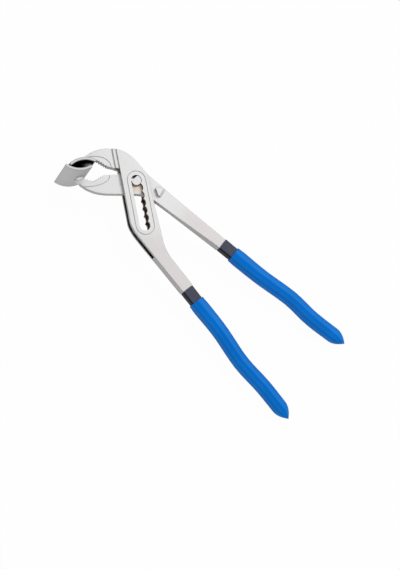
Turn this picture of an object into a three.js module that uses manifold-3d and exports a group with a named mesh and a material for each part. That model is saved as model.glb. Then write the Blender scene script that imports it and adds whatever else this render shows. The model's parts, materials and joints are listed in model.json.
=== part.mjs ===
// Tyre removal pliers: slip-joint box pliers with a curved pad welded to each jaw tip.
// The tool is drawn flat, as seen from its front: X across the handles, Y towards the jaws,
// Z towards the viewer, with the pin's axis at the origin. It is then laid on a table.
import * as THREE from 'three';
import { ConvexGeometry } from 'three/addons/geometries/ConvexGeometry.js';
import { mergeVertices } from 'three/addons/utils/BufferGeometryUtils.js';
import Module from 'manifold-3d';

// Fits, in millimetres
const RUN = 0.3; // between pieces that move on each other, or that lie on each other
const COAT = 0.9; // black undercoat, from its bore to its outside

// Pin and slip slot
const PIN_RADIUS = 4.8;
const PIN_FLAT = 2.8; // pin axis to the flat
const PIN_RECESS = 0.2; // pin end below the cheek's face
const NOTCHES = 7;
const NOTCH_PITCH = 7.3;
const SLOT_HEADING = THREE.MathUtils.degToRad(-123); // way the pin moves as the jaws widen
const RACETRACK_RADIUS = 8.8; // scribed line round the slot

// Thicknesses
const INNER_THICK = 6.2;
const CHEEK = 2.8;
const UPPER_JAW_THICK = 7;
const SHANK_THICK = 10.8;
const TANG_THICK = 8.6;
const BOX_THICK = INNER_THICK + 2 * (RUN + CHEEK);

// Box of the outer arm, in the slot's own frame: along the slot, and across it to the right
const BOX_LEFT = 13.4;
const BOX_RIGHT_TOP = 11.3;
const BOX_RIGHT_LOW = 14.5;
const BOX_TOP = -5.4;
const BOX_CORNER = -13.1;
const BOX_LEFT_END = 38;
const BOX_RIGHT_END = 59;
const LEFT_TURN = 6; // from the box's end to the corner of the curve that leads to the shank
const RIGHT_TURN = 9;
const JAW_LEDGE = 3.4; // width of the ledge half way down from the cheek to the upper jaw
const LEDGE_SHIFT = 0.2; // from the line of the box's side to the ledge

// Hub of the inner arm, and the passage that it turns in
const HUB_RADIUS = 16.7;
const HUB_END = THREE.MathUtils.degToRad(116); // where the hub runs into the lower jaw
const PASSAGE_ARC = [28.5, 103].map(THREE.MathUtils.degToRad); // round top of the passage
const PASSAGE_END = -64.3;

// Outlines of the head and the jaws
const HEAD_SIDE = [12.9, 8.1];
const HEAD_CURVE = [[15.3, 27.5], [3.4, 46.2]];
const UPPER_CREST = [-19.7, 48.2];
const UPPER_TIP = [[-27.5, 49.2], [-34.2, 44.7]];
const UPPER_HEEL = [[-23.6, 37.3], [-21.6, 42], [-9.7, 25.5]];
const LOWER_TIP = [[-39.5, 40.5], [-42.5, 34.9]];
const LOWER_CURVE = [[-42.5, 23.8], [-37, 14.7], [-28.5, 7.4]];
const LOWER_BELLY = [[-8, -10], [-1.2, -15.7], [2, -30.6]];
const LOWER_HEEL = [[-9.4, 16.1], [-18.1, 22.6], [-35.8, 32.4]];

// Pipe grip: each jaw has a long and a short toothed flank that meet in a vee
const VEE = THREE.MathUtils.degToRad(133);
const LONG_TEETH = 5;
const SHORT_TEETH = 4;
const TOOTH_PITCH = 2.5;
const TOOTH_DEPTH = 1.15;
const UPPER_VEE = { apex: [-14, 38.7], heading: THREE.MathUtils.degToRad(-72.4), turn: -1 };
const LOWER_VEE = { apex: [-31.4, 24.8], heading: THREE.MathUtils.degToRad(-9.8), turn: 1 };

// Scribed lines
const GROOVE_WIDTH = 0.8;
const GROOVE_DEPTH = 0.4;
const UPPER_GROOVE = [[-23.2, 47.6], [-11, 43], [-2.6, 32], [-9.4, 23.9]];
const LOWER_GROOVE = [[-42.4, 28], [-33.3, 19.6], [-18.8, 13.6], [-15, 20.6]];

// Stop lug on the inner arm's face
const LUG_TOP = [[9.5, -18.1], [13.8, -21.9], [6.8, -24.1]]; // middles of its round corners
const LUG_RAMP = [[15.4, -24.6], [7.7, -26.6]]; // the same, at the foot of its ramp
const LUG_ROUND = 0.8;
const LUG_HEIGHT = 2.8;

// Curved pads
const PAD_RADIUS = 23;
const PAD_THICK = 2.7;
const PAD_WIDTH = 54;
const PAD_HALF_SPAN = THREE.MathUtils.degToRad(34);
const PAD_GAP = 0.63; // from the upper pad's far end to the lower pad
const UPPER_PAD_BACK = [-32.2, 47.2]; // middle of the upper pad's back
const UPPER_PAD_MIDDLE = THREE.MathUtils.degToRad(58.9); // way from a pad's centre to its middle
const LOWER_PAD_MIDDLE = THREE.MathUtils.degToRad(227.7);
const PADS_MEET = THREE.MathUtils.degToRad(207.6); // way from the lower pad's centre to that far end
const WELD_LEG = 2.8;
const WELD_END_LEG = 0.9;
const UPPER_WELD = [31, 55].map(THREE.MathUtils.degToRad);
const LOWER_WELD = [233, 249].map(THREE.MathUtils.degToRad);

// Handles: the bare shank ends at the undercoat's mouth, and the tang goes on inside it
const OUTER_SPINE = [
  [-34.2, -106.6], [-35.8, -128], [-37.7, -156], [-42.9, -190], [-42.9, -219], [-44, -238], [-45.8, -258.9],
];
const INNER_SPINE = [
  [21.7, -97.8], [24.9, -118.5], [29.4, -146], [36.8, -179], [38.7, -205], [42.2, -224.8], [46.7, -245.9],
];
const OUTER_MOUTH_WIDTH = 11.8;
const INNER_MOUTH_WIDTH = 11.2;
const OUTER_SHANK = { left: [-36.1, -40.2], right: [-26, -76.6], taper: [52, 76] };
const INNER_SHANK = { right: [13.6, -2.1], taper: [45, 97] };
const TANG_WIDTH = 9.4;
const TANG_TIP_WIDTH = 6.4;
const TANG_STOP = 13; // tang end to the grip's end
const COLLAR = 14.3; // undercoat that shows in front of the grip
const GRIP_HALF_WIDTHS = [7.6, 7.5, 7.5, 7.5, 7.3]; // evenly spaced from the grip's mouth to its end
const GRIP_HALF_THICKS = [7.1, 7.3, 7.4, 7.5, 7.3];
const GRIP_LIP = 0.4; // rounding of the grip's mouth
const LIP_LENGTH = 6;
const GRIP_NOSE = 14.5; // length of the grip's rounded point
const COAT_NOSE = 3;
const GRIP_POWERS = [3.2, 2.5, 2.3, 2.2, 2.2]; // corners of its sections, from 2 for an ellipse upwards
const COAT_POWER = 6;

// Steps of curved forms
const CURVE_STEPS = 12;
const NOTCH_STEPS = 6;
const HANDLE_RINGS = 16;
const END_RINGS = 6;
const WELD_STEPS = 3;
const LUG_POINTS = 12;
const RING_POINTS = 24;

const FAR = 400; // beyond every outline, for cutters

const wasm = await Module();
wasm.setup();

const vector = ([x, y]) => new THREE.Vector2(x, y);
const fromAngle = (angle) => new THREE.Vector2(Math.cos(angle), Math.sin(angle));
const spread = (count) => Array.from({ length: count + 1 }, (_, i) => i / count);

const SLOT_ALONG = fromAngle(SLOT_HEADING);
const SLOT_ACROSS = fromAngle(SLOT_HEADING + Math.PI / 2);
const inSlot = (along, across) =>
  SLOT_ALONG.clone().multiplyScalar(along).addScaledVector(SLOT_ACROSS, across);

// The upper pad is placed by its back, and the lower pad by the upper one's far end
const PAD_BORE = PAD_RADIUS - PAD_THICK;
const UPPER_CENTRE = vector(UPPER_PAD_BACK).addScaledVector(fromAngle(UPPER_PAD_MIDDLE), -PAD_RADIUS);
const FAR_END = UPPER_CENTRE.clone().addScaledVector(fromAngle(UPPER_PAD_MIDDLE + PAD_HALF_SPAN), PAD_BORE);
const LOWER_CENTRE = FAR_END.clone().addScaledVector(fromAngle(PADS_MEET), PAD_GAP - PAD_BORE);
const UPPER_PAD = { centre: UPPER_CENTRE, middle: UPPER_PAD_MIDDLE };
const LOWER_PAD = { centre: LOWER_CENTRE, middle: LOWER_PAD_MIDDLE };

// Resting on a table: the lower pad's near edge and the grips' ends touch it
const PAD_NEAR = LOWER_CENTRE.y + PAD_RADIUS * Math.sin(LOWER_PAD_MIDDLE + PAD_HALF_SPAN);
const GRIP_FAR = OUTER_SPINE.at(-1)[1] + GRIP_NOSE;
const REST_TILT = Math.atan2(PAD_WIDTH / 2 - GRIP_HALF_THICKS.at(-1), PAD_NEAR - GRIP_FAR);

// Solids from three.js geometry

function solid(geometry) {
  geometry.deleteAttribute('normal');
  geometry.deleteAttribute('uv');
  const welded = mergeVertices(geometry);
  const mesh = new wasm.Mesh({
    numProp: 3,
    vertProperties: new Float32Array(welded.attributes.position.array),
    triVerts: new Uint32Array(welded.index.array),
  });
  return new wasm.Manifold(mesh);
}

function slab(shape, low, high, curveSegments = CURVE_STEPS) {
  const options = { depth: high - low, curveSegments, bevelEnabled: false };
  const geometry = new THREE.ExtrudeGeometry(shape, options);
  return solid(geometry.translate(0, 0, low));
}

// A prism whose section lies in the plane of `run` and Z, as long as the tool is wide
function crossPrism(section, run) {
  const options = { depth: 2 * FAR, bevelEnabled: false };
  const geometry = new THREE.ExtrudeGeometry(new THREE.Shape(section), options);
  const x = new THREE.Vector3(run.x, run.y, 0);
  const z = new THREE.Vector3(0, 0, 1);
  const basis = new THREE.Matrix4().makeBasis(x, z, x.clone().cross(z));
  return solid(geometry.translate(0, 0, -FAR).applyMatrix4(basis));
}

function loft(rings, first, last) {
  const size = rings[0].length;
  const points = [...rings.flat(), first, last];
  const [head, tail] = [points.length - 2, points.length - 1];
  const index = [];
  for (let j = 0; j < size; j += 1) {
    const k = (j + 1) % size;
    const end = (rings.length - 1) * size;
    index.push(head, k, j, tail, end + j, end + k);
    for (let i = 0; i < rings.length - 1; i += 1) {
      const [a, b] = [i * size, (i + 1) * size];
      index.push(a + j, a + k, b + k, a + j, b + k, b + j);
    }
  }
  const geometry = new THREE.BufferGeometry().setFromPoints(points);
  geometry.setIndex(index);
  return solid(geometry);
}

// Both faces of a piece that is alike at front and back
const bothFaces = (make) => [1, -1].map(make);
const slabOnFace = (shape, face, depth) => (side) =>
  slab(shape, Math.min(side * (face - depth), side * FAR), Math.max(side * (face - depth), side * FAR));

const subtractAll = (body, cutters) => cutters.reduce((rest, cutter) => rest.subtract(cutter), body);

// Strips and lines

// Points beside a curve, at a distance that goes evenly from one offset to the other
function offsetLine(curve, from, to, [first, last], steps) {
  return spread(steps).map((f) => {
    const u = from + f * (to - from);
    const along = curve.getTangentAt(u);
    const offset = THREE.MathUtils.lerp(first, last, f);
    return curve.getPointAt(u).add(new THREE.Vector2(-along.y, along.x).multiplyScalar(offset));
  });
}

// The outline of a band along a curve: down its left side and back up its right side
function strip(curve, from, to, halves, steps) {
  const left = offsetLine(curve, from, to, halves.map((half) => -half), steps);
  const right = offsetLine(curve, from, to, halves, steps);
  return [...left, ...right.reverse()];
}

function jawGroove(points, face) {
  const line = new THREE.CubicBezierCurve(...points.map(vector));
  const band = strip(line, 0, 1, [GROOVE_WIDTH / 2, GROOVE_WIDTH / 2], CURVE_STEPS);
  return bothFaces(slabOnFace(new THREE.Shape(band), face, GROOVE_DEPTH));
}

function racetrack(radius) {
  const shape = new THREE.Shape();
  const end = inSlot((NOTCHES - 1) * NOTCH_PITCH, 0);
  shape.absarc(0, 0, radius, SLOT_HEADING + Math.PI / 2, SLOT_HEADING - Math.PI / 2);
  shape.absarc(end.x, end.y, radius, SLOT_HEADING - Math.PI / 2, SLOT_HEADING + Math.PI / 2);
  return shape;
}

// Outer arm: upper jaw, box and one handle

function handle(points) {
  const spine = new THREE.SplineCurve(points.map(vector));
  const length = spine.getLength();
  return { spine, length, mouth: spine.getPointAt(0), along: spine.getTangentAt(0) };
}

const OUTER = handle(OUTER_SPINE);
const INNER = handle(INNER_SPINE);

function mouthCorner({ mouth, along }, offset) {
  return mouth.clone().add(new THREE.Vector2(-along.y, along.x).multiplyScalar(offset));
}

// The tang narrows towards its end; with room round it, this is also the undercoat's bore
function tangOutline({ spine, length }, room) {
  const halves = [TANG_WIDTH, TANG_TIP_WIDTH].map((width) => width / 2 + room);
  return strip(spine, 0, 1 - (TANG_STOP - room) / length, halves, CURVE_STEPS);
}

const lineThrough = (path, points) => points.forEach((p) => path.lineTo(p.x, p.y));

// The half thickness of an arm, from [distance along the handle, half thickness] pairs
function faceCutters(along, levels) {
  const top = [[FAR, BOX_THICK], [-FAR, BOX_THICK]];
  return bothFaces((side) =>
    crossPrism([...levels, ...top].map(([s, half]) => new THREE.Vector2(s, side * half)), along));
}

function shankLevels({ mouth, along }, start, [thinEnd, thickEnd]) {
  const stop = mouth.dot(along);
  return [
    [-FAR, start], [thinEnd, start], [thickEnd, SHANK_THICK / 2], [stop, SHANK_THICK / 2],
    [stop, TANG_THICK / 2], [FAR, TANG_THICK / 2],
  ];
}

function outerOutline() {
  const shape = new THREE.Shape();
  const corner = inSlot(BOX_CORNER, -BOX_LEFT);
  const leftEnd = inSlot(BOX_LEFT_END, -BOX_LEFT);
  const leftTurn = inSlot(BOX_LEFT_END + LEFT_TURN, -BOX_LEFT);
  const rightEnd = inSlot(BOX_RIGHT_END, BOX_RIGHT_LOW);
  const rightTurn = inSlot(BOX_RIGHT_END + RIGHT_TURN, BOX_RIGHT_LOW);
  const top = inSlot(BOX_TOP, BOX_RIGHT_TOP);
  shape.moveTo(top.x, top.y);
  shape.lineTo(...HEAD_SIDE);
  shape.bezierCurveTo(...HEAD_CURVE.flat(), ...UPPER_CREST);
  shape.quadraticCurveTo(...UPPER_TIP.flat());
  lineThrough(shape, [...UPPER_HEEL.map(vector), corner, leftEnd]);
  shape.quadraticCurveTo(leftTurn.x, leftTurn.y, ...OUTER_SHANK.left);
  lineThrough(shape, [mouthCorner(OUTER, -OUTER_MOUTH_WIDTH / 2), ...tangOutline(OUTER, 0)]);
  lineThrough(shape, [mouthCorner(OUTER, OUTER_MOUTH_WIDTH / 2), vector(OUTER_SHANK.right)]);
  shape.quadraticCurveTo(rightTurn.x, rightTurn.y, rightEnd.x, rightEnd.y);
  return shape;
}

// The slip slot: a straight wall on the left, and one round notch per setting on the right
function slipSlot() {
  const radius = PIN_RADIUS + RUN;
  const cusp = Math.acos(NOTCH_PITCH / 2 / radius);
  const shape = new THREE.Shape();
  for (let i = 0; i < NOTCHES; i += 1) {
    const centre = inSlot(i * NOTCH_PITCH, 0);
    const from = i === 0 ? SLOT_HEADING - Math.PI / 2 : SLOT_HEADING + Math.PI - cusp;
    const to = i === NOTCHES - 1 ? SLOT_HEADING - Math.PI / 2 : SLOT_HEADING + cusp;
    shape.absarc(centre.x, centre.y, radius, from, to, true);
  }
  return shape;
}

// The passage that the inner arm goes through, open at both sides of the box
function passage() {
  const radius = HUB_RADIUS + RUN;
  const [low, high] = PASSAGE_ARC;
  const shape = new THREE.Shape();
  shape.moveTo(FAR, PASSAGE_END);
  shape.lineTo(FAR, radius * Math.sin(low));
  shape.absarc(0, 0, radius, low, high);
  shape.lineTo(-FAR, radius * Math.sin(high));
  shape.lineTo(-FAR, PASSAGE_END);
  return slab(shape, -INNER_THICK / 2 - RUN, INNER_THICK / 2 + RUN);
}

// The steps from each cheek to a ledge, and from there to the thinner upper jaw
function jawSteps() {
  const jaw = UPPER_JAW_THICK / 2;
  const ledge = (UPPER_JAW_THICK + BOX_THICK) / 4;
  const top = -BOX_LEFT - LEDGE_SHIFT;
  const section = [
    [-FAR, jaw], [top - JAW_LEDGE, jaw], [top - JAW_LEDGE, ledge], [top, ledge], [top, BOX_THICK],
    [-FAR, BOX_THICK],
  ];
  return bothFaces((side) =>
    crossPrism(section.map(([across, half]) => new THREE.Vector2(across, side * half)), SLOT_ACROSS));
}

// A toothed vee: a long flank from its heel to the apex, and a short one from there to the tip
function toothedVee({ apex, heading, turn }) {
  const flank = (direction, teeth, bite) => spread(2 * teeth).slice(1).map((f, i) =>
    vector(apex)
      .addScaledVector(direction, f * teeth * TOOTH_PITCH)
      .addScaledVector(bite, i % 2 ? 0 : TOOTH_DEPTH));
  const long = fromAngle(heading);
  const short = fromAngle(heading + turn * VEE);
  const longBite = fromAngle(heading + turn * Math.PI / 2);
  const shortBite = fromAngle(heading + turn * (VEE - Math.PI / 2));
  const longFlank = flank(long, LONG_TEETH, longBite);
  const shortFlank = flank(short, SHORT_TEETH, shortBite);
  const out = fromAngle(heading + turn * VEE / 2).multiplyScalar(LONG_TEETH * TOOTH_PITCH);
  const outline = [
    ...longFlank.slice().reverse(), vector(apex), ...shortFlank,
    shortFlank.at(-1).clone().add(out), longFlank.at(-1).clone().add(out),
  ];
  return slab(new THREE.Shape(outline), -FAR, FAR);
}

function disc({ x, y }, radius) {
  const shape = new THREE.Shape();
  shape.absarc(x, y, radius, 0, 2 * Math.PI);
  return shape;
}

const padSeat = ({ centre }) => slab(disc(centre, PAD_RADIUS + RUN), -FAR, FAR);

function outerArm() {
  const line = racetrack(RACETRACK_RADIUS + GROOVE_WIDTH / 2);
  line.holes.push(racetrack(RACETRACK_RADIUS - GROOVE_WIDTH / 2));
  return subtractAll(slab(outerOutline(), -BOX_THICK, BOX_THICK), [
    ...faceCutters(OUTER.along, shankLevels(OUTER, BOX_THICK / 2, OUTER_SHANK.taper)),
    ...jawSteps(),
    passage(),
    slab(slipSlot(), -FAR, FAR, NOTCH_STEPS),
    ...bothFaces(slabOnFace(line, BOX_THICK / 2, GROOVE_DEPTH)),
    toothedVee(UPPER_VEE),
    padSeat(UPPER_PAD),
    ...jawGroove(UPPER_GROOVE, UPPER_JAW_THICK / 2),
  ]);
}

// Inner arm: lower jaw, hub and the other handle

function innerOutline() {
  const shape = new THREE.Shape();
  const edge = vector(INNER_SHANK.right);
  const mouthRight = mouthCorner(INNER, INNER_MOUTH_WIDTH / 2);
  const run = mouthRight.clone().sub(edge).normalize();
  const reach = edge.dot(new THREE.Vector2(-run.y, run.x));
  const hubStart = Math.atan2(run.x, -run.y) + Math.acos(reach / HUB_RADIUS);
  shape.moveTo(mouthRight.x, mouthRight.y);
  shape.absarc(0, 0, HUB_RADIUS, hubStart, HUB_END);
  lineThrough(shape, [...LOWER_HEEL, ...LOWER_TIP].map(vector));
  shape.bezierCurveTo(...LOWER_CURVE.flat());
  shape.lineTo(...LOWER_BELLY[0]);
  shape.quadraticCurveTo(...LOWER_BELLY.slice(1).flat());
  lineThrough(shape, [mouthCorner(INNER, -INNER_MOUTH_WIDTH / 2), ...tangOutline(INNER, 0)]);
  return shape;
}

// The lug has a flat top, upright sides and a ramp; its foot is sunk in the arm's face
function stopLug() {
  const foot = INNER_THICK / 2 - RUN;
  const corner = (middle, z) => disc(vector(middle), LUG_ROUND).getSpacedPoints(LUG_POINTS)
    .map((p) => new THREE.Vector3(p.x, p.y, z));
  return solid(new ConvexGeometry([
    ...LUG_TOP.flatMap((middle) => corner(middle, INNER_THICK / 2 + LUG_HEIGHT)),
    ...[...LUG_TOP, ...LUG_RAMP].flatMap((middle) => corner(middle, foot)),
  ]));
}

function innerArm() {
  const blank = slab(innerOutline(), -BOX_THICK, BOX_THICK);
  const arm = subtractAll(blank, [
    ...faceCutters(INNER.along, shankLevels(INNER, INNER_THICK / 2, INNER_SHANK.taper)),
    slab(disc(new THREE.Vector2(), PIN_RADIUS + RUN), -FAR, FAR),
    toothedVee(LOWER_VEE),
    padSeat(LOWER_PAD),
    ...jawGroove(LOWER_GROOVE, INNER_THICK / 2),
  ]);
  return arm.add(stopLug());
}

function pivotPin() {
  const shape = new THREE.Shape();
  const flat = Math.acos(PIN_FLAT / PIN_RADIUS);
  shape.absarc(0, 0, PIN_RADIUS, Math.PI / 2 + flat, Math.PI / 2 - flat);
  return slab(shape, PIN_RECESS - BOX_THICK / 2, BOX_THICK / 2 - PIN_RECESS);
}

// Pads and the beads that weld them to the jaws

function pad({ centre, middle }) {
  const shape = new THREE.Shape();
  const [from, to] = [middle - PAD_HALF_SPAN, middle + PAD_HALF_SPAN];
  shape.absarc(centre.x, centre.y, PAD_RADIUS, from, to);
  shape.absarc(centre.x, centre.y, PAD_BORE, to, from, true);
  return slab(shape, -PAD_WIDTH / 2, PAD_WIDTH / 2);
}

// A fillet bead in the corner between a pad's back and one face of its jaw, thinning at its ends
function weldBead({ centre }, [from, to], jawThick, side) {
  const corner = new THREE.Vector2(PAD_RADIUS + RUN, jawThick / 2 + RUN);
  const section = [new THREE.Vector2(), ...spread(WELD_STEPS).map((f) => fromAngle(f * Math.PI / 2))];
  const place = (angle, p) => {
    const out = centre.clone().addScaledVector(fromAngle(angle), p.x);
    return new THREE.Vector3(out.x, out.y, side * p.y);
  };
  const rings = spread(2 * END_RINGS).map((f) => {
    const leg = THREE.MathUtils.lerp(WELD_END_LEG, WELD_LEG, Math.sqrt(1 - (2 * f - 1) ** 2));
    const ring = section.map((p) => place(from + f * (to - from), corner.clone().addScaledVector(p, leg)));
    return side > 0 ? ring.reverse() : ring;
  });
  return loft(rings, place(from, corner), place(to, corner));
}

// Dipped handle covers

const profile = (values) =>
  new THREE.SplineCurve(values.map((v, i) => new THREE.Vector2(i / (values.length - 1), v)));
const gripWidth = profile(GRIP_HALF_WIDTHS);
const gripThick = profile(GRIP_HALF_THICKS);
const gripPower = profile(GRIP_POWERS);

function superellipse(power) {
  return spread(RING_POINTS).slice(1).map((f) => {
    const p = fromAngle(2 * Math.PI * f);
    return p.set(...[p.x, p.y].map((c) => Math.sign(c) * Math.abs(c) ** (2 / power)));
  });
}

// A cover from `start` to `end` along a handle, with a rounded point; `sectionAt` gives its half width,
// half thickness and corner power
function cover({ spine, length }, start, end, noseLength, sectionAt) {
  const shoulder = end - noseLength;
  const body = spread(HANDLE_RINGS).map((f) => [start + f * (shoulder - start), 1]);
  const nose = spread(END_RINGS).slice(1, -1).map((f) => [shoulder + f * noseLength, 1 - f ** 2]);
  const place = (distance, across, height) => {
    const u = THREE.MathUtils.clamp(distance / length, 0, 1);
    const along = spine.getTangentAt(u);
    const p = spine.getPointAt(u)
      .addScaledVector(along, distance - u * length)
      .addScaledVector(new THREE.Vector2(-along.y, along.x), across);
    return new THREE.Vector3(p.x, p.y, height);
  };
  const rings = [...body, ...nose].map(([distance, shrink]) => {
    const [width, thick, power] = sectionAt(distance);
    return superellipse(power).map((p) => place(distance, p.x * width * shrink, p.y * thick * shrink));
  });
  return loft(rings, place(start, 0, 0), place(end, 0, 0));
}

// The undercoat's outside, or with room round it the grip's bore
function coat(path, start, room) {
  const tang = path.length - TANG_STOP;
  return cover(path, start, tang + RUN + COAT + COAT_NOSE + room, COAT_NOSE, (distance) => {
    const width = THREE.MathUtils.lerp(TANG_WIDTH, TANG_TIP_WIDTH, Math.min(distance / tang, 1));
    const wall = RUN + COAT + room;
    return [width / 2 + wall, TANG_THICK / 2 + wall, COAT_POWER];
  });
}

function undercoat(path) {
  const bore = new THREE.Shape(tangOutline(path, RUN));
  return coat(path, RUN, 0).subtract(slab(bore, -TANG_THICK / 2 - RUN, TANG_THICK / 2 + RUN));
}

function grip(path) {
  const outside = cover(path, COLLAR, path.length, GRIP_NOSE, (distance) => {
    const f = (distance - COLLAR) / (path.length - COLLAR);
    const lip = Math.max(0, 1 - (distance - COLLAR) / LIP_LENGTH) * GRIP_LIP;
    return [gripWidth.getPoint(f).y - lip, gripThick.getPoint(f).y - lip, gripPower.getPoint(f).y];
  });
  return outside.subtract(coat(path, 0, RUN));
}

// Colours and finishes

const finish = (color, roughness, metalness) =>
  new THREE.MeshStandardMaterial({ color, roughness, metalness });
const satinSteel = () => finish(0xd9d8d6, 0.42, 0.85);
const sheetSteel = () => finish(0xb4b4b5, 0.5, 0.85);
const weldMetal = () => finish(0xa3a3a5, 0.55, 0.8);
const blackDip = () => finish(0x2c3038, 0.6, 0);
const blueDip = () => finish(0x0a62c4, 0.45, 0);

// Assembly

const pieces = {
  outer_arm: [outerArm(), satinSteel()],
  inner_arm: [innerArm(), satinSteel()],
  pivot_pin: [pivotPin(), satinSteel()],
  upper_pad: [pad(UPPER_PAD), sheetSteel()],
  lower_pad: [pad(LOWER_PAD), sheetSteel()],
  upper_weld_front: [weldBead(UPPER_PAD, UPPER_WELD, UPPER_JAW_THICK, 1), weldMetal()],
  upper_weld_back: [weldBead(UPPER_PAD, UPPER_WELD, UPPER_JAW_THICK, -1), weldMetal()],
  lower_weld_front: [weldBead(LOWER_PAD, LOWER_WELD, INNER_THICK, 1), weldMetal()],
  lower_weld_back: [weldBead(LOWER_PAD, LOWER_WELD, INNER_THICK, -1), weldMetal()],
  outer_undercoat: [undercoat(OUTER), blackDip()],
  inner_undercoat: [undercoat(INNER), blackDip()],
  outer_grip: [grip(OUTER), blueDip()],
  inner_grip: [grip(INNER), blueDip()],
};

const tool = new THREE.Group();
tool.name = 'tire_removal_pliers';
for (const [name, [body, material]] of Object.entries(pieces)) {
  const { vertProperties, triVerts } = body.getMesh();
  const geometry = new THREE.BufferGeometry();
  geometry.setAttribute('position', new THREE.BufferAttribute(vertProperties, 3));
  geometry.setIndex(new THREE.BufferAttribute(triVerts, 1));
  geometry.rotateX(REST_TILT);
  const mesh = new THREE.Mesh(geometry, material);
  mesh.name = name;
  tool.add(mesh);
}

// Onto the table, with the middle of the tool's base at the origin
const box = new THREE.Box3().setFromObject(tool);
const middle = box.getCenter(new THREE.Vector3()).setZ(box.min.z);
for (const mesh of tool.children) {
  mesh.geometry.translate(-middle.x, -middle.y, -middle.z);
  mesh.geometry.computeVertexNormals();
}

const place = (p) => p.clone().applyAxisAngle(new THREE.Vector3(1, 0, 0), REST_TILT);
const report = (name, v) => console.log(name, v.toArray().map((c) => c.toFixed(4)).join(' '));
report('pin axis through', place(new THREE.Vector3()).sub(middle));
report('pin axis direction', place(new THREE.Vector3(0, 0, 1)));
report('slot direction', place(new THREE.Vector3(SLOT_ALONG.x, SLOT_ALONG.y, 0)));

export default tool;
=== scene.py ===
"""Tyre removal pliers: finished pieces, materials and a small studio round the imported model."""
import json
import math
from functools import cached_property

import bmesh
import bpy
from bpy.props import FloatProperty, FloatVectorProperty, IntProperty, PointerProperty
from bpy.types import Operator, Panel, PropertyGroup
from mathutils import Matrix, Vector
from mathutils.kdtree import KDTree

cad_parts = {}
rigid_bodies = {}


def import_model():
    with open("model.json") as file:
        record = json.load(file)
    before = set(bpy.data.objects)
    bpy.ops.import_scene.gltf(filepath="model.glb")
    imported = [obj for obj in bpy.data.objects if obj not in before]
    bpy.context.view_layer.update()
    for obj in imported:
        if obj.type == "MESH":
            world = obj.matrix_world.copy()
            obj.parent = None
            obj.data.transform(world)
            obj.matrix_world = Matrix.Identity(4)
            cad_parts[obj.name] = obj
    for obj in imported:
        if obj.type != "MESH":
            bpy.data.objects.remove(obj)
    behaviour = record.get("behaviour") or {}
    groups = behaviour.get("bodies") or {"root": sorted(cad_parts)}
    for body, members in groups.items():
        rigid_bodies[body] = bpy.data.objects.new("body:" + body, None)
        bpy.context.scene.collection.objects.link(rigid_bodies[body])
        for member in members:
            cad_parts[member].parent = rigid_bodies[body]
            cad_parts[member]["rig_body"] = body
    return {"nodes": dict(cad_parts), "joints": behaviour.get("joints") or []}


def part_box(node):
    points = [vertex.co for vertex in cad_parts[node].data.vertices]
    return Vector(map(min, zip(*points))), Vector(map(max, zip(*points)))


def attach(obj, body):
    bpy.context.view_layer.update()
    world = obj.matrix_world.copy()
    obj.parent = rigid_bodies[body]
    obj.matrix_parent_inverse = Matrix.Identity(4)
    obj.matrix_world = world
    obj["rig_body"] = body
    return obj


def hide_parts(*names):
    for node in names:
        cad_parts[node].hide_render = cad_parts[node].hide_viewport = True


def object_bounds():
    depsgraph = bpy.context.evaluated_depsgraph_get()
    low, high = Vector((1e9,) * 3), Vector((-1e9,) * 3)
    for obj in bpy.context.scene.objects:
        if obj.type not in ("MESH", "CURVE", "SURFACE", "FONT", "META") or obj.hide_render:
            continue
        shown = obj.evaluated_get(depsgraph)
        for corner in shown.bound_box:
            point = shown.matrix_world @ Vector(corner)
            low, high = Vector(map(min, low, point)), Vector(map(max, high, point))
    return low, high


bl_info = {
    "name": "Tyre Removal Pliers",
    "version": (1, 0, 0),
    "blender": (4, 5, 0),
    "location": "View3D > Sidebar > Pliers",
    "description": (
        "Finishes slip-joint tyre pliers: eased steel edges, weld beads, dipped grips and a pale studio"),
    "category": "Add Mesh",
}

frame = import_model()
CAD_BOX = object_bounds()


def joint(name):
    """A joint's row in the frame."""
    return next(row for row in frame["joints"] if row["name"] == name)


# The tool's own frame: origin on the pin's axis, X across the handles, Y to the jaws, Z off the front face
PIN = Vector(joint("jaw_hinge")["pos_m"])
FACE = Vector(joint("jaw_hinge")["axis"]).normalized()
ACROSS = Vector((1.0, 0.0, 0.0))
TO_JAWS = FACE.cross(ACROSS)
SLOT = Vector(joint("pin_slide")["axis"]).normalized()
SLOT_LENGTH = joint("pin_slide")["range_m"][1]


def from_tool(x, y, z):
    """A direction in the tool's frame, turned into the row's frame."""
    return ACROSS * x + TO_JAWS * y + FACE * z


WELDS = ("upper_weld_front", "upper_weld_back", "lower_weld_front", "lower_weld_back")

# The camera in the tool's frame, and the photograph's height and focal length in pixels
CAMERA_AT = (-0.54591, -0.07903, 1.40606)
CAMERA_RIGHT = (0.68707142, -0.67369175, 0.27216225)
CAMERA_DOWN = (-0.63700008, -0.73868666, -0.22039265)
PHOTO_HEIGHT = 570
PHOTO_FOCAL = 1612.5
SENSOR = 36.0

# The studio, with its lamps placed in the tool's frame
KEY_AT, KEY_SIZE = (1.45, 0.0, 1.75), (1.6, 1.2)
SIDE_AT, SIDE_SIZE = (-1.6, -0.7, 1.2), (1.2, 1.2)
LAMPS_AIM = (0.0, -0.1, 0.0)
FLOOR_HALF = 15.0
FLOOR_DROP = 0.0002
WHITE = (1.0, 1.0, 1.0, 1.0)

# Edges: lengths in metres and angles between two faces
SAME_PLACE = 1e-6
SHORTEST = 0.00025
TOOTH_SIDE = 0.0021
TOOTH_TURN = math.radians(45)
FLAT = math.radians(0.5)
PAD_BEND = math.radians(1)
PAD_RIM = math.radians(50)
FORGED_RIM = math.radians(40)
PIN_RIM = math.radians(75)
DIP_RIM = math.radians(60)
STEEL_SHARP = math.radians(38)
BEAD_SHARP = math.radians(60)
GRIP_SHARP = math.radians(50)
THIN_STEPS = 2
BEAD_CUTS = 3
BEAD_ROUNDING = 0.4

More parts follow.
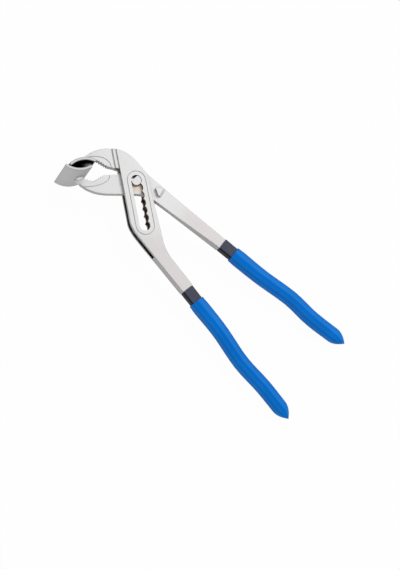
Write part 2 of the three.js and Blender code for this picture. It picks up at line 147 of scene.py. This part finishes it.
# Faces that the finishes tell apart: eased rims, walls and scribed lines take painted shade, hidden faces
# take oil with painted shade; UPRIGHT and LEANING are shares of the front in a face's normal
MARKS = ("eased", "wall", "scribed", "hidden")
UPRIGHT = 0.5
LEANING = (0.3, 0.7)
SCRIBED_DEPTH = (0.0002, 0.0009)
HIDDEN_REACH = 0.0065
WELD_REACH = 0.007
CLEAR_OF_LINES = 0.0018
CLEAR_OF_WELDS = 0.004

# Colours on the steel: oil with painted shade, dry oil with painted shade, black painted shade and a warm
# tint; then colours that it is multiplied by, the rim's one a painted shade
OIL_AND_SHADE = (0.085, 0.055, 0.035)
DRY_OIL_AND_SHADE = ((0.03, 0.029, 0.031), (0.16, 0.155, 0.165))
PAINTED_SHADE_BLACK = (0.011, 0.011, 0.016)
WARM_TINT = (0.72, 0.56, 0.42)
DARKER_AWAY = (0.92, 0.885, 0.892)
EASED_RIM_SHADE = (0.72, 0.72, 0.72)

# Two places in the tool's frame, a painted shadow's corner and the pads' end where their painted shade
# fades, and the distances over which a finish changes round a place
SHADOW_CORNER = (-0.0049, 0.0171, 0.0025)
SHADE_FADE_END = (-0.0262, 0.0368, 0.0105)
WARM_TINT_REACH = (0.0085, 0.0125)
DRY_OIL_AND_SHADE_REACH = (0.022, 0.042)
DARKER_AWAY_REACH = (0.042, 0.068)
CORNER_REACH = (0.004, 0.0055)
SHADE_FADE_REACH = (0.002, 0.01)

# Patterns, in cells to the metre, and the depth of their relief in metres
STEEL_GRAIN, GRAIN_DEPTH = 2600.0, 0.00006
STEEL_LINES, LINES_DEPTH = (900.0, 60.0, 900.0), 0.00005
STEEL_CLOUD = 55.0
STEEL_SMEAR = 300.0
WELD_GRAIN, WELD_DEPTH = 1500.0, 0.0001
WELD_CLOUD = 220.0
DIP_SKIN, SKIN_DEPTH = 420.0, 0.0003
DIP_SPECK, SPECK_DEPTH = 2400.0, 0.00004
DIP_DRIFT = 38.0

# The turn of the polishing lines in radians, and the cells of painted highlight streaks over half of a
# grip's round
LINES_TURN = 0.12
DIP_HIGHLIGHT_STREAKS = 4.0

# How dark and how pale a pattern makes a colour, and the levels between which a colour changes
STEEL_TONES, STEEL_LEVELS = (0.95, 1.03), (0.3, 0.7)
OIL_AND_SHADE_TONES, OIL_AND_SHADE_LEVELS = (0.4, 2.6), (0.42, 0.58)
WELD_TONES, WELD_LEVELS = (0.82, 1.05), (0.35, 0.65)
DIP_TONES, DIP_LEVELS = (0.95, 1.05), (0.3, 0.7)
DRY_OIL_AND_SHADE_LEVELS = (0.4, 0.6)
STREAK_LEVELS = (0.42, 0.62)
CORNER_LEVELS = (0.1, 0.4)
SIDE_LEVELS = (0.7, 1.0)
CLOUD_SHARE = 0.6
# Painted shade: the tone that upright walls take
WALL_PAINTED_SHADE = 0.6
# Painted shade in the scribed lines: its tone, and the share of it that they take
SCRIBED_PAINTED_SHADE, SCRIBED_SHADE_SHARE = 0.4, 0.5
RUBBED_SMOOTH = 0.08

# Numbers of single finishes: gloss is a specular level, corner and side are painted shade, as tones of the
# colour on a dip's turned-away corners and sides; the sheet's grime colour is painted shade alone
FORGED = {"roughness": 0.5, "metallic": 0.3}
SHEET = {"roughness": 0.48, "metallic": 0.35, "edge_tint": (0.1, 0.1, 0.1), "grime_and_shade_colour": PAINTED_SHADE_BLACK}
BLACK_DIP = {"roughness": 0.5, "gloss": 0.06, "peel": 0.25, "corner": 0.03, "side": 0.35}
BLUE_DIP = {"roughness": 0.34, "gloss": 0.03, "peel": 0.3, "corner": 0.95, "side": 0.57}


class PliersEdges(PropertyGroup):
    """Sizes of eased edges and surface relief."""

    steel_ease: FloatProperty(
        name="Steel edges", description="Rounding of the forged arms' edges",
        default=0.0004, min=0.0, subtype="DISTANCE", unit="LENGTH")
    pin_ease: FloatProperty(
        name="Pin edges", description="Rounding of the pin's ends",
        default=0.0004, min=0.0, subtype="DISTANCE", unit="LENGTH")
    pad_ease: FloatProperty(
        name="Pad edges", description="Rounding of the curved pads' edges",
        default=0.0006, min=0.0, subtype="DISTANCE", unit="LENGTH")
    dip_ease: FloatProperty(
        name="Dip edges", description="Rounding where a dipped layer ends",
        default=0.0003, min=0.0, subtype="DISTANCE", unit="LENGTH")
    steps: IntProperty(
        name="Steps", description="Faces across a rounded edge", default=3, min=1, max=6)
    bead_ripple: FloatProperty(
        name="Bead ripple", description="Height of the ripples on a weld bead",
        default=0.0001, min=0.0, subtype="DISTANCE", unit="LENGTH")
    bead_pitch: FloatProperty(
        name="Bead pitch", description="Distance from one weld ripple to the next",
        default=0.0016, min=0.0002, subtype="DISTANCE", unit="LENGTH")


class PliersColours(PropertyGroup):
    """Base colours of the finishes."""

    steel: FloatVectorProperty(
        name="Steel", description="Satin plated forging", subtype="COLOR", size=3, min=0, max=1,
        default=(0.70, 0.692, 0.69))
    pad: FloatVectorProperty(
        name="Pad steel", description="Satin sheet steel", subtype="COLOR", size=3, min=0, max=1,
        default=(0.59, 0.59, 0.59))
    weld: FloatVectorProperty(
        name="Weld", description="Plated weld metal", subtype="COLOR", size=3, min=0, max=1,
        default=(0.86, 0.855, 0.85))
    undercoat: FloatVectorProperty(
        name="Undercoat", description="Black first dip", subtype="COLOR", size=3, min=0, max=1,
        default=(0.070, 0.077, 0.108))
    grip: FloatVectorProperty(
        name="Grip", description="Blue second dip", subtype="COLOR", size=3, min=0, max=1,
        default=(0.0, 0.156, 0.61))
    # Colour of the painted highlight streaks along the grips
    highlight_streaks: FloatVectorProperty(
        name="Grip runs", description="Paler runs in the grips", subtype="COLOR", size=3, min=0, max=1,
        default=(0.02, 0.225, 0.7))
    floor: FloatVectorProperty(
        name="Floor", description="Studio floor", subtype="COLOR", size=3, min=0, max=1,
        default=(0.82, 0.82, 0.82))


class PliersStudio(PropertyGroup):
    """Light in the studio."""

    key: FloatProperty(
        name="Key light", description="Power of the large soft light", default=29.5, min=0.0,
        subtype="POWER", unit="POWER")
    side: FloatProperty(
        name="Side light", description="Power of the weaker light across from it", default=9.0, min=0.0,
        subtype="POWER", unit="POWER")
    fill: FloatProperty(
        name="Fill", description="Strength of the light from all round", default=0.42, min=0.0)
    whiteness: FloatProperty(
        name="Floor whiteness", description="Share of the floor that is plain white to the camera",
        default=0.97, min=0.0, max=1.0, subtype="FACTOR")


class Value:
    """A number on a socket of a node tree; arithmetic on it adds Math nodes."""

    def __init__(self, nodes, socket):
        self.nodes = nodes
        self.socket = socket

    def math(self, operation, first, second):
        return self.nodes.node("ShaderNodeMath", {"operation": operation}, {0: first, 1: second})

    def __add__(self, other):
        return self.math("ADD", self, other)

    __radd__ = __add__

    def __sub__(self, other):
        return self.math("SUBTRACT", self, other)

    def __rsub__(self, other):
        return self.math("SUBTRACT", other, self)

    def __mul__(self, other):
        return self.math("MULTIPLY", self, other)

    __rmul__ = __mul__

    def above(self, low, high):
        """0 below low, 1 above high, and smooth between."""
        return self.nodes.node(
            "ShaderNodeMapRange", {"interpolation_type": "SMOOTHSTEP"},
            {"Value": self, "From Min": low, "From Max": high})

    def swing(self, middle, width):
        """A pattern from 0 to 1, brought to a given width about a given middle."""
        return self * width + (middle - width / 2)


class Nodes:
    """The node tree of a material or a world, emptied first."""

    def __init__(self, owner):
        owner.use_nodes = True
        self.tree = owner.node_tree
        self.tree.nodes.clear()

    def node(self, kind, settings=None, sockets=None, output=0):
        """A node of a kind, with its settings, then its sockets' values or links; gives one output."""
        made = self.tree.nodes.new(kind)
        for name, value in (settings or {}).items():
            setattr(made, name, value)
        for name, value in (sockets or {}).items():
            if isinstance(value, Value):
                self.tree.links.new(value.socket, made.inputs[name])
            else:
                made.inputs[name].default_value = value
        return Value(self, made.outputs[output]) if made.outputs else None


class Finish(Nodes):
    """A material and the nodes that make it."""

    def __init__(self, name):
        self.material = bpy.data.materials.new(name)
        super().__init__(self.material)

    @cached_property
    def place(self):
        return self.node("ShaderNodeTexCoord", output="Object")

    def mapped(self, scale, turn):
        return self.node(
            "ShaderNodeMapping", None, {"Vector": self.place, "Rotation": (0, 0, turn), "Scale": scale})

    def noise(self, scale, detail=2.0, place=None):
        return self.node(
            "ShaderNodeTexNoise", None,
            {"Vector": place or self.place, "Scale": scale, "Detail": detail, "Roughness": 0.55})

    def distance(self, point):
        return self.node(
            "ShaderNodeVectorMath", {"operation": "DISTANCE"}, {0: self.place, 1: point}, output="Value")

    def attribute(self, name):
        return self.node("ShaderNodeAttribute", {"attribute_name": name}, output="Fac")

    def mix(self, factor, first, second, blend="MIX"):
        """A Mix node for colours, whose colour sockets are 6 and 7 and whose colour output is 2."""
        return self.node(
            "ShaderNodeMix", {"data_type": "RGBA", "blend_type": blend},
            {0: factor, 6: self.colour(first), 7: self.colour(second)}, output=2)

    def tones(self, factor, colour, amounts):
        """A colour that goes from a darker to a paler tone of itself."""
        dark, pale = amounts
        return self.mix(factor, shade(colour, dark), shade(colour, pale))

    @staticmethod
    def colour(value):
        return value if isinstance(value, Value) else (*value, 1.0)

    def bump(self, height, distance, strength, under=None):
        sockets = {"Height": height, "Distance": distance, "Strength": strength}
        if under:
            sockets["Normal"] = under
        return self.node("ShaderNodeBump", None, sockets)

    def surface(self, sockets):
        shader = self.node("ShaderNodeBsdfPrincipled", None, sockets)
        self.node("ShaderNodeOutputMaterial", None, {"Surface": shader})
        return self.material


def shade(colour, amount):
    """A darker or paler tone of a colour."""
    return tuple(channel * amount for channel in colour)


def satin_steel(name, colour, roughness, metallic, grime_and_shade_colour=OIL_AND_SHADE, edge_tint=(1.0, 1.0, 1.0),
                warm_tint_from=None, darker_away_from=None, shadow_corner=None, shade_fade_end=None):
    """Blasted and plated steel: a fine grain, faint polishing lines, painted shade on upright sides, in
    scribed lines and on eased rims, and oil with painted shade on hidden faces.

    It may have a warm tint near one place, be darker away from another, carry a painted shadow in a corner
    and have its painted shade fade out at an end.
    """
    finish = Finish(name)
    grain = finish.noise(STEEL_GRAIN, detail=3.0)
    cloud = finish.noise(STEEL_CLOUD, detail=3.0)
    smear = finish.noise(STEEL_SMEAR, detail=3.0)
    lines = finish.noise(1.0, place=finish.mapped(STEEL_LINES, LINES_TURN))
    rim_wear_and_shade = finish.attribute("eased")
    wall = finish.attribute("wall")
    tone = cloud * CLOUD_SHARE + lines * (1.0 - CLOUD_SHARE)
    base = finish.tones(tone.above(*STEEL_LEVELS), colour, STEEL_TONES)
    # A warm beige tint on the arm round the pin
    if warm_tint_from:
        near = 1.0 - finish.distance(warm_tint_from).above(*WARM_TINT_REACH)
        base = finish.mix(near * smear.swing(middle=0.8, width=0.5), base, WARM_TINT)
    # Darker towards the handles, away from the pin
    if darker_away_from:
        base = finish.mix(finish.distance(darker_away_from).above(*DARKER_AWAY_REACH), base, DARKER_AWAY, "MULTIPLY")
    # Painted shade: faces upright to the front get a darker tone of the colour, by how steep they are
    base = finish.mix(wall, base, shade(colour, WALL_PAINTED_SHADE))
    # Painted shade on the eased rims; the same mark also makes them smoother, as wear
    base = finish.mix(rim_wear_and_shade, base, EASED_RIM_SHADE, "MULTIPLY")
    # Painted shade in the scribed lines
    base = finish.mix(finish.attribute("scribed") * SCRIBED_SHADE_SHARE, base, shade(colour, SCRIBED_PAINTED_SHADE))
    # Oil with painted shade on hidden faces: a dark brown, greyer away from the pin, that also makes them
    # fully metallic
    oiled_and_shaded = finish.attribute("hidden")
    if shade_fade_end:
        oiled_and_shaded = oiled_and_shaded * finish.distance(shade_fade_end).above(*SHADE_FADE_REACH)
    grime_and_shade = finish.tones(smear.above(*OIL_AND_SHADE_LEVELS), grime_and_shade_colour, OIL_AND_SHADE_TONES)
    if darker_away_from:
        dry_grime_and_shade = finish.mix(smear.above(*DRY_OIL_AND_SHADE_LEVELS), *DRY_OIL_AND_SHADE)
        grime_and_shade = finish.mix(finish.distance(darker_away_from).above(*DRY_OIL_AND_SHADE_REACH), grime_and_shade, dry_grime_and_shade)
    base = finish.mix(oiled_and_shaded * smear.swing(middle=1.0, width=0.1), base, grime_and_shade)
    # Painted shadow: upright faces near one corner turn near black
    if shadow_corner:
        corner = 1.0 - finish.distance(shadow_corner).above(*CORNER_REACH)
        base = finish.mix(wall * corner, base, PAINTED_SHADE_BLACK)
    blasted = finish.bump(grain, GRAIN_DEPTH, strength=0.35)
    return finish.surface({
        "Base Color": base, "Metallic": oiled_and_shaded * (1.0 - metallic) + metallic,
        "Roughness": (
            grain.swing(middle=0.0, width=0.1) + cloud.swing(middle=roughness, width=0.1)
            - rim_wear_and_shade * RUBBED_SMOOTH),
        "Specular Tint": (*edge_tint, 1.0),
        "Normal": finish.bump(lines, LINES_DEPTH, strength=0.15, under=blasted)})


def weld_metal(colour):
    """Weld bead under plating: rough, and cloudy in tone."""
    finish = Finish("weld_metal")
    grain = finish.noise(WELD_GRAIN, detail=4.0)
    cloud = finish.noise(WELD_CLOUD, detail=3.0)
    return finish.surface({
        "Base Color": finish.tones(cloud.above(*WELD_LEVELS), colour, WELD_TONES),
        "Metallic": FORGED["metallic"], "Roughness": cloud.swing(middle=0.495, width=0.15),
        "Normal": finish.bump(grain, WELD_DEPTH, strength=0.4)})


def dipped(name, colour, roughness, gloss, peel, corner, side, highlight_streaks=None):
    """Dipped vinyl: slow drifts, painted shade on its turned-away corners and sides, painted highlight
    streaks along it, a soft orange peel and a thin gloss.
    """
    finish = Finish(name)
    drift = finish.noise(DIP_DRIFT)
    skin = finish.noise(DIP_SKIN)
    speck = finish.noise(DIP_SPECK)
    turned = finish.attribute("side")
    base = finish.tones(drift.above(*DIP_LEVELS), colour, DIP_TONES)
    # Painted shade: the section's corners and sides, as they turn away from the front, take darker tones of
    # the colour
    base = finish.mix(turned.above(*CORNER_LEVELS), base, shade(colour, corner))
    base = finish.mix(turned.above(*SIDE_LEVELS), base, shade(colour, side))
    # Painted highlight: paler streaks along the grip, placed by the way the surface faces across
    if highlight_streaks:
        run = finish.node(
            "ShaderNodeTexNoise", {"noise_dimensions": "1D"},
            {"W": finish.attribute("round"), "Scale": DIP_HIGHLIGHT_STREAKS, "Detail": 1.0})
        base = finish.mix(run.above(*STREAK_LEVELS) * drift.swing(middle=0.65, width=0.6), base, highlight_streaks)
    peeled = finish.bump(skin, SKIN_DEPTH, strength=peel)
    return finish.surface({
        "Base Color": base, "Roughness": skin.swing(middle=roughness, width=0.12),
        "Specular IOR Level": gloss,
        "Normal": finish.bump(speck, SPECK_DEPTH, strength=0.2, under=peeled)})


def copy_of(node, shortest=0.0):
    """A node's mesh as one welded bmesh, with its flat faces whole and no edge below the shortest."""
    mesh = bmesh.new()
    mesh.from_mesh(frame["nodes"][node].data)
    for name in MARKS:
        mesh.faces.layers.float.new(name)
    bmesh.ops.remove_doubles(mesh, verts=mesh.verts, dist=SAME_PLACE)
    bmesh.ops.dissolve_degenerate(mesh, edges=mesh.edges, dist=SAME_PLACE)
    bmesh.ops.dissolve_limit(mesh, angle_limit=FLAT, verts=mesh.verts, edges=mesh.edges)
    if shortest:
        bmesh.ops.remove_doubles(mesh, verts=mesh.verts, dist=shortest)
        bmesh.ops.dissolve_degenerate(mesh, edges=mesh.edges, dist=SAME_PLACE)
    mesh.normal_update()
    return mesh


def crisp(edge, limit):
    """True for an edge whose two faces turn by more than the limit."""
    return edge.is_manifold and edge.calc_face_angle(0.0) > limit


def mark(mesh, name, faces, amount=lambda face: 1.0):
    """Marks faces in an attribute that the finishes read."""
    layer = mesh.faces.layers.float[name]
    for face in faces:
        face[layer] = amount(face)


def ease(mesh, edges, width, steps):
    """Rounds edges, and leaves the new faces with the mark for eased ones alone."""
    made = bmesh.ops.bevel(
        mesh, geom=edges, offset=width, offset_type="OFFSET", segments=steps, profile=0.5,
        affect="EDGES", clamp_overlap=False, material=-1)
    mesh.normal_update()
    for name in MARKS:
        mark(mesh, name, made["faces"], lambda face: float(name == "eased"))
    bmesh.ops.dissolve_degenerate(mesh, edges=mesh.edges, dist=SAME_PLACE)
    mesh.normal_update()


def finish_piece(mesh, node, material, sharp=STEEL_SHARP):
    """Turns a bmesh into the object that stands for a node and moves with its body."""
    for face in mesh.faces:
        face.smooth = True
    for edge in mesh.edges:
        edge.smooth = not crisp(edge, sharp)
    name = node + "_finished"
    data = bpy.data.meshes.new(name)
    mesh.to_mesh(data)
    mesh.free()
    data.materials.append(material)
    piece = bpy.data.objects.new(name, data)
    bpy.context.scene.collection.objects.link(piece)
    flats = piece.modifiers.new("Flat faces stay flat", "WEIGHTED_NORMAL")
    flats.keep_sharp = True
    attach(piece, frame["nodes"][node]["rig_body"])
    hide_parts(node)


def heights(face):
    """A face's lowest and highest levels above the middle of the tool."""
    levels = [(vert.co - PIN).dot(FACE) for vert in face.verts]
    return min(levels), max(levels)


def depth(face):
    """How far a face reaches from front to back."""
    low, high = heights(face)
    return high - low


def clamp(value, low=0.0, high=1.0):
    """A number kept between two others."""
    return min(max(value, low), high)


def is_wall(face):
    """True for a face that stands upright on the tool's front."""
    return abs(face.normal.dot(FACE)) < UPRIGHT


def steepness(face):
    """0 for a face that lies flat, 1 for an upright one."""
    steep, flat = LEANING
    return clamp((flat - abs(face.normal.dot(FACE))) / (flat - steep))


def mark_sides(mesh):
    """Gives each corner of a rounded piece a share that grows as its surface turns away from the front,
    which the dips turn into painted shade, and the way it faces across, which places their painted
    highlight streaks.
    """
    side = mesh.verts.layers.float.new("side")
    about = mesh.verts.layers.float.new("round")
    for vert in mesh.verts:
        vert[side] = clamp(1.0 - abs(vert.normal.dot(FACE)))
        vert[about] = vert.normal.dot(ACROSS)


def looks_inwards(face):
    """True for the roof and the floor of the passage through the outer arm."""
    return face.normal.dot(FACE) * sum(heights(face)) < 0.0 and not is_wall(face)


def beside_slot(face):
    """Distance from the line that the pin slides on."""
    away = face.calc_center_median() - PIN
    away -= FACE * away.dot(FACE)
    return (away - SLOT * clamp(away.dot(SLOT), 0.0, SLOT_LENGTH)).length


def middle(node):
    """The middle of a node's box."""
    low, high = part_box(node)
    return (low + high) / 2


def beside(face, places):
    """True for a face close to one of the welds' places."""
    here = face.calc_center_median()
    return any((here - place).length < WELD_REACH for place in places)


def scribed_faces(mesh):
    """The floors and sides of the scribed lines."""
    shallow, deep = SCRIBED_DEPTH
    found = set()
    for face in mesh.faces:
        if is_wall(face):
            continue
        level = abs(sum(heights(face)) / 2)
        for edge in face.edges:
            for side in edge.link_faces:
                if is_wall(side) and shallow < depth(side) < deep:
                    if level < max(abs(height) for height in heights(side)) - shallow:
                        found.update((face, side))
    return found


def outer_rims(mesh, limit):
    """The sharp rims round the outside of a piece, without those of its bore."""
    rims = [edge for edge in mesh.edges if crisp(edge, limit) and edge.is_convex]
    ends = [vert.co for edge in rims for vert in edge.verts]
    centre = sum(ends, Vector()) / len(ends)

    def outside(edge):
        wall = min(edge.link_faces, key=lambda face: len(face.verts))
        return wall.normal.dot((edge.verts[0].co + edge.verts[1].co) / 2 - centre) > 0.0

    return [edge for edge in rims if outside(edge)]


def forged_edges(mesh, welds):
    """The arms' long outer edges, clear of the teeth, the scribed lines, the slot and the welds."""
    lines = [vert.co for face in scribed_faces(mesh) for vert in face.verts]
    near = KDTree(len(lines))
    for number, place in enumerate(lines):
        near.insert(place, number)
    near.balance()
    hidden = mesh.faces.layers.float["hidden"]

    def can_round(edge):
        walls = [face for face in edge.link_faces if is_wall(face)]
        return (
            crisp(edge, FORGED_RIM) and edge.is_convex and len(walls) == 1
            and depth(walls[0]) > SCRIBED_DEPTH[1] and not any(face[hidden] for face in edge.link_faces)
            and not any(near.find_range(vert.co, CLEAR_OF_LINES) for vert in edge.verts)
            and not any((vert.co - weld).length < CLEAR_OF_WELDS for vert in edge.verts for weld in welds))

    rims = [edge for edge in mesh.edges if can_round(edge)]
    chosen = set(rims)

    def turn(edge, vert):
        here = (vert.co - edge.other_vert(vert).co).normalized()
        turns = [
            here.angle((other.other_vert(vert).co - vert.co).normalized(), 0.0)
            for other in vert.link_edges if other in chosen and other is not edge]
        return min(turns, default=0.0)

    return [
        edge for edge in rims
        if edge.calc_length() > TOOTH_SIDE or all(turn(edge, vert) < TOOTH_TURN for vert in edge.verts)]


class PLIERS_OT_arms(Operator):
    """Eases the edges of both forged arms and of the pin"""

    bl_idname = "pliers.arms"
    bl_label = "Arms and Pin"

    def execute(self, context):
        edges = context.scene.pliers_edges
        colour = context.scene.pliers_colours.steel
        # Where the painted shadow sits, at the opening of the passage
        corner = PIN + from_tool(*SHADOW_CORNER)
        plain = satin_steel("satin_steel", colour, **FORGED)
        hub = satin_steel("satin_steel_hub", colour, **FORGED, warm_tint_from=PIN, darker_away_from=PIN)
        box = satin_steel("satin_steel_box", colour, **FORGED, shadow_corner=corner, darker_away_from=PIN)
        welds = [middle(node) for node in WELDS]
        for node, width, material in (
                ("outer_arm", edges.steel_ease, box), ("inner_arm", edges.steel_ease, hub),
                ("pivot_pin", edges.pin_ease, plain)):
            mesh = copy_of(node, SHORTEST)
            # Upright faces, except beside the welds, are marked for painted shade
            mark(mesh, "wall", [face for face in mesh.faces if not beside(face, welds)], steepness)
            # Scribed lines are marked for painted shade
            mark(mesh, "scribed", scribed_faces(mesh))
            if node == "outer_arm":
                # The passage's roof and floor and the walls beside the slot are marked for oil with painted
                # shade
                mark(mesh, "hidden", [
                    face for face in mesh.faces
                    if looks_inwards(face) or is_wall(face) and beside_slot(face) < HIDDEN_REACH])
            rims = outer_rims(mesh, PIN_RIM) if node == "pivot_pin" else forged_edges(mesh, welds)
            ease(mesh, rims, width, edges.steps)
            finish_piece(mesh, node, material)
        return {"FINISHED"}


class PLIERS_OT_pads(Operator):
    """Eases the edges of the curved pads"""

    bl_idname = "pliers.pads"
    bl_label = "Pads"

    def execute(self, context):
        edges = context.scene.pliers_edges
        colour = context.scene.pliers_colours.pad
        # The pads' concave faces get painted shade, near black, fading out towards one end
        sheet = satin_steel("pad_steel", colour, **SHEET, shade_fade_end=PIN + from_tool(*SHADE_FADE_END))
        for node in ("upper_pad", "lower_pad"):
            mesh = copy_of(node)
            # Concave faces are marked for painted shade
            mark(mesh, "hidden", [
                face for face in mesh.faces
                if any(edge.calc_face_angle_signed(0.0) < -PAD_BEND for edge in face.edges)])
            rims = [edge for edge in mesh.edges if crisp(edge, PAD_RIM)]
            ease(mesh, rims, edges.pad_ease, edges.steps)
            finish_piece(mesh, node, sheet)
        return {"FINISHED"}


class PLIERS_OT_welds(Operator):
    """Ripples the beads that hold the pads to the jaws"""

    bl_idname = "pliers.welds"
    bl_label = "Weld Beads"

    def execute(self, context):
        edges = context.scene.pliers_edges
        metal = weld_metal(context.scene.pliers_colours.weld)
        for node in WELDS:
            mesh = copy_of(node)
            bmesh.ops.triangulate(mesh, faces=mesh.faces)
            bmesh.ops.subdivide_edges(
                mesh, edges=mesh.edges, cuts=BEAD_CUTS, smooth=BEAD_ROUNDING, use_grid_fill=True)
            mesh.normal_update()
            low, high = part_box(node)
            run = (high - low).xy.normalized().to_3d()
            for vert in mesh.verts:
                ripple = math.cos(math.tau * vert.co.dot(run) / edges.bead_pitch)
                vert.co += vert.normal * (ripple - 1) * edges.bead_ripple
            finish_piece(mesh, node, metal, BEAD_SHARP)
        return {"FINISHED"}


class PLIERS_OT_undercoats(Operator):
    """Finishes the black first dip of both handles"""

    bl_idname = "pliers.undercoats"
    bl_label = "Undercoats"

    def execute(self, context):
        edges = context.scene.pliers_edges
        black = dipped("black_dip", context.scene.pliers_colours.undercoat, **BLACK_DIP)
        for node in ("outer_undercoat", "inner_undercoat"):
            mesh = copy_of(node)
            ease(mesh, outer_rims(mesh, DIP_RIM), edges.dip_ease, THIN_STEPS)
            mark_sides(mesh)
            finish_piece(mesh, node, black)
        return {"FINISHED"}


class PLIERS_OT_grips(Operator):
    """Finishes the blue second dip of both handles"""

    bl_idname = "pliers.grips"
    bl_label = "Grips"

    def execute(self, context):
        edges = context.scene.pliers_edges
        colours = context.scene.pliers_colours
        blue = dipped("blue_dip", colours.grip, **BLUE_DIP, highlight_streaks=colours.highlight_streaks)
        for node in ("outer_grip", "inner_grip"):
            mesh = copy_of(node)
            ease(mesh, outer_rims(mesh, DIP_RIM), edges.dip_ease, edges.steps)
            mark_sides(mesh)
            finish_piece(mesh, node, blue, GRIP_SHARP)
        return {"FINISHED"}


class PLIERS_OT_studio(Operator):
    """Sets up the floor, the lights and the camera"""

    bl_idname = "pliers.studio"
    bl_label = "Studio"

    def execute(self, context):
        self.floor(context)
        self.lights(context)
        self.camera(context)
        context.scene.view_settings.view_transform = "Standard"
        return {"FINISHED"}

    @staticmethod
    def floor(context):
        """A pale floor that is white to the camera and in reflections, and keeps the tool's shadow."""
        finish = Finish("pale_floor")
        camera, glossy, through = (
            finish.node("ShaderNodeLightPath", output=ray)
            for ray in ("Is Camera Ray", "Is Glossy Ray", "Is Transmission Ray"))
        seen = (camera + glossy + through).above(0.0, 1.0)
        colour = context.scene.pliers_colours.floor
        paint = finish.node("ShaderNodeBsdfDiffuse", None, {"Color": (*colour, 1.0)})
        white = finish.node("ShaderNodeEmission", None, {"Color": WHITE, "Strength": 1.0})
        mixed = finish.node(
            "ShaderNodeMixShader", None,
            {0: seen * context.scene.pliers_studio.whiteness, 1: paint, 2: white})
        finish.node("ShaderNodeOutputMaterial", None, {"Surface": mixed})
        mesh = bmesh.new()
        bmesh.ops.create_grid(mesh, x_segments=1, y_segments=1, size=FLOOR_HALF)
        bmesh.ops.translate(mesh, verts=mesh.verts, vec=(0, 0, CAD_BOX[0].z - FLOOR_DROP))
        data = bpy.data.meshes.new("floor")
        mesh.to_mesh(data)
        mesh.free()
        data.materials.append(finish.material)
        floor = bpy.data.objects.new("floor", data)
        context.scene.collection.objects.link(floor)

    @staticmethod
    def lights(context):
        """Two soft lamps, and an even light from all round."""
        studio = context.scene.pliers_studio
        for name, power, place, size in (
                ("key", studio.key, KEY_AT, KEY_SIZE), ("side_light", studio.side, SIDE_AT, SIDE_SIZE)):
            lamp = bpy.data.lights.new(name, "AREA")
            lamp.energy = power
            lamp.shape = "RECTANGLE"
            lamp.size, lamp.size_y = size
            stand = bpy.data.objects.new(name, lamp)
            stand.location = PIN + from_tool(*place)
            aim = PIN + from_tool(*LAMPS_AIM) - stand.location
            stand.rotation_euler = aim.to_track_quat("-Z", "Y").to_euler()
            context.scene.collection.objects.link(stand)
        world = context.scene.world or bpy.data.worlds.new("studio")
        context.scene.world = world
        nodes = Nodes(world)
        sky = nodes.node("ShaderNodeBackground", None, {"Color": WHITE, "Strength": studio.fill})
        nodes.node("ShaderNodeOutputWorld", None, {"Surface": sky})

    @staticmethod
    def camera(context):
        """The camera, where the photograph was taken from."""
        right = from_tool(*CAMERA_RIGHT).normalized()
        up = -from_tool(*CAMERA_DOWN).normalized()
        turned = Matrix((right, up, right.cross(up))).transposed()
        lens = bpy.data.cameras.new("camera")
        lens.sensor_width = SENSOR
        lens.lens = SENSOR * PHOTO_FOCAL / PHOTO_HEIGHT
        camera = bpy.data.objects.new("camera", lens)
        camera.matrix_world = Matrix.Translation(PIN + from_tool(*CAMERA_AT)) @ turned.to_4x4()
        context.scene.collection.objects.link(camera)
        context.scene.camera = camera


GROUPS = {"pliers_edges": PliersEdges, "pliers_colours": PliersColours, "pliers_studio": PliersStudio}
OPERATORS = (
    PLIERS_OT_studio, PLIERS_OT_arms, PLIERS_OT_pads, PLIERS_OT_welds, PLIERS_OT_undercoats,
    PLIERS_OT_grips)


class VIEW3D_PT_pliers(Panel):
    """Lists the pieces of the pliers and their settings"""

    bl_label = "Tyre Removal Pliers"
    bl_idname = "VIEW3D_PT_pliers"
    bl_space_type = "VIEW_3D"
    bl_region_type = "UI"
    bl_category = "Pliers"

    def draw(self, context):
        column = self.layout.column()
        for operator in OPERATORS:
            column.operator(operator.bl_idname)
        for name, group in GROUPS.items():
            for setting in group.__annotations__:
                column.prop(getattr(context.scene, name), setting)


def register():
    for name, group in GROUPS.items():
        bpy.utils.register_class(group)
        setattr(bpy.types.Scene, name, PointerProperty(type=group))
    for operator in OPERATORS:
        bpy.utils.register_class(operator)
    bpy.utils.register_class(VIEW3D_PT_pliers)


def unregister():
    bpy.utils.unregister_class(VIEW3D_PT_pliers)
    for operator in reversed(OPERATORS):
        bpy.utils.unregister_class(operator)
    for name, group in GROUPS.items():
        delattr(bpy.types.Scene, name)
        bpy.utils.unregister_class(group)


def main():
    register()
    bpy.ops.pliers.studio()
    bpy.ops.pliers.arms()
    bpy.ops.pliers.pads()
    bpy.ops.pliers.welds()
    bpy.ops.pliers.undercoats()
    bpy.ops.pliers.grips()
    bpy.context.view_layer.update()


if __name__ == "__main__":
    main()
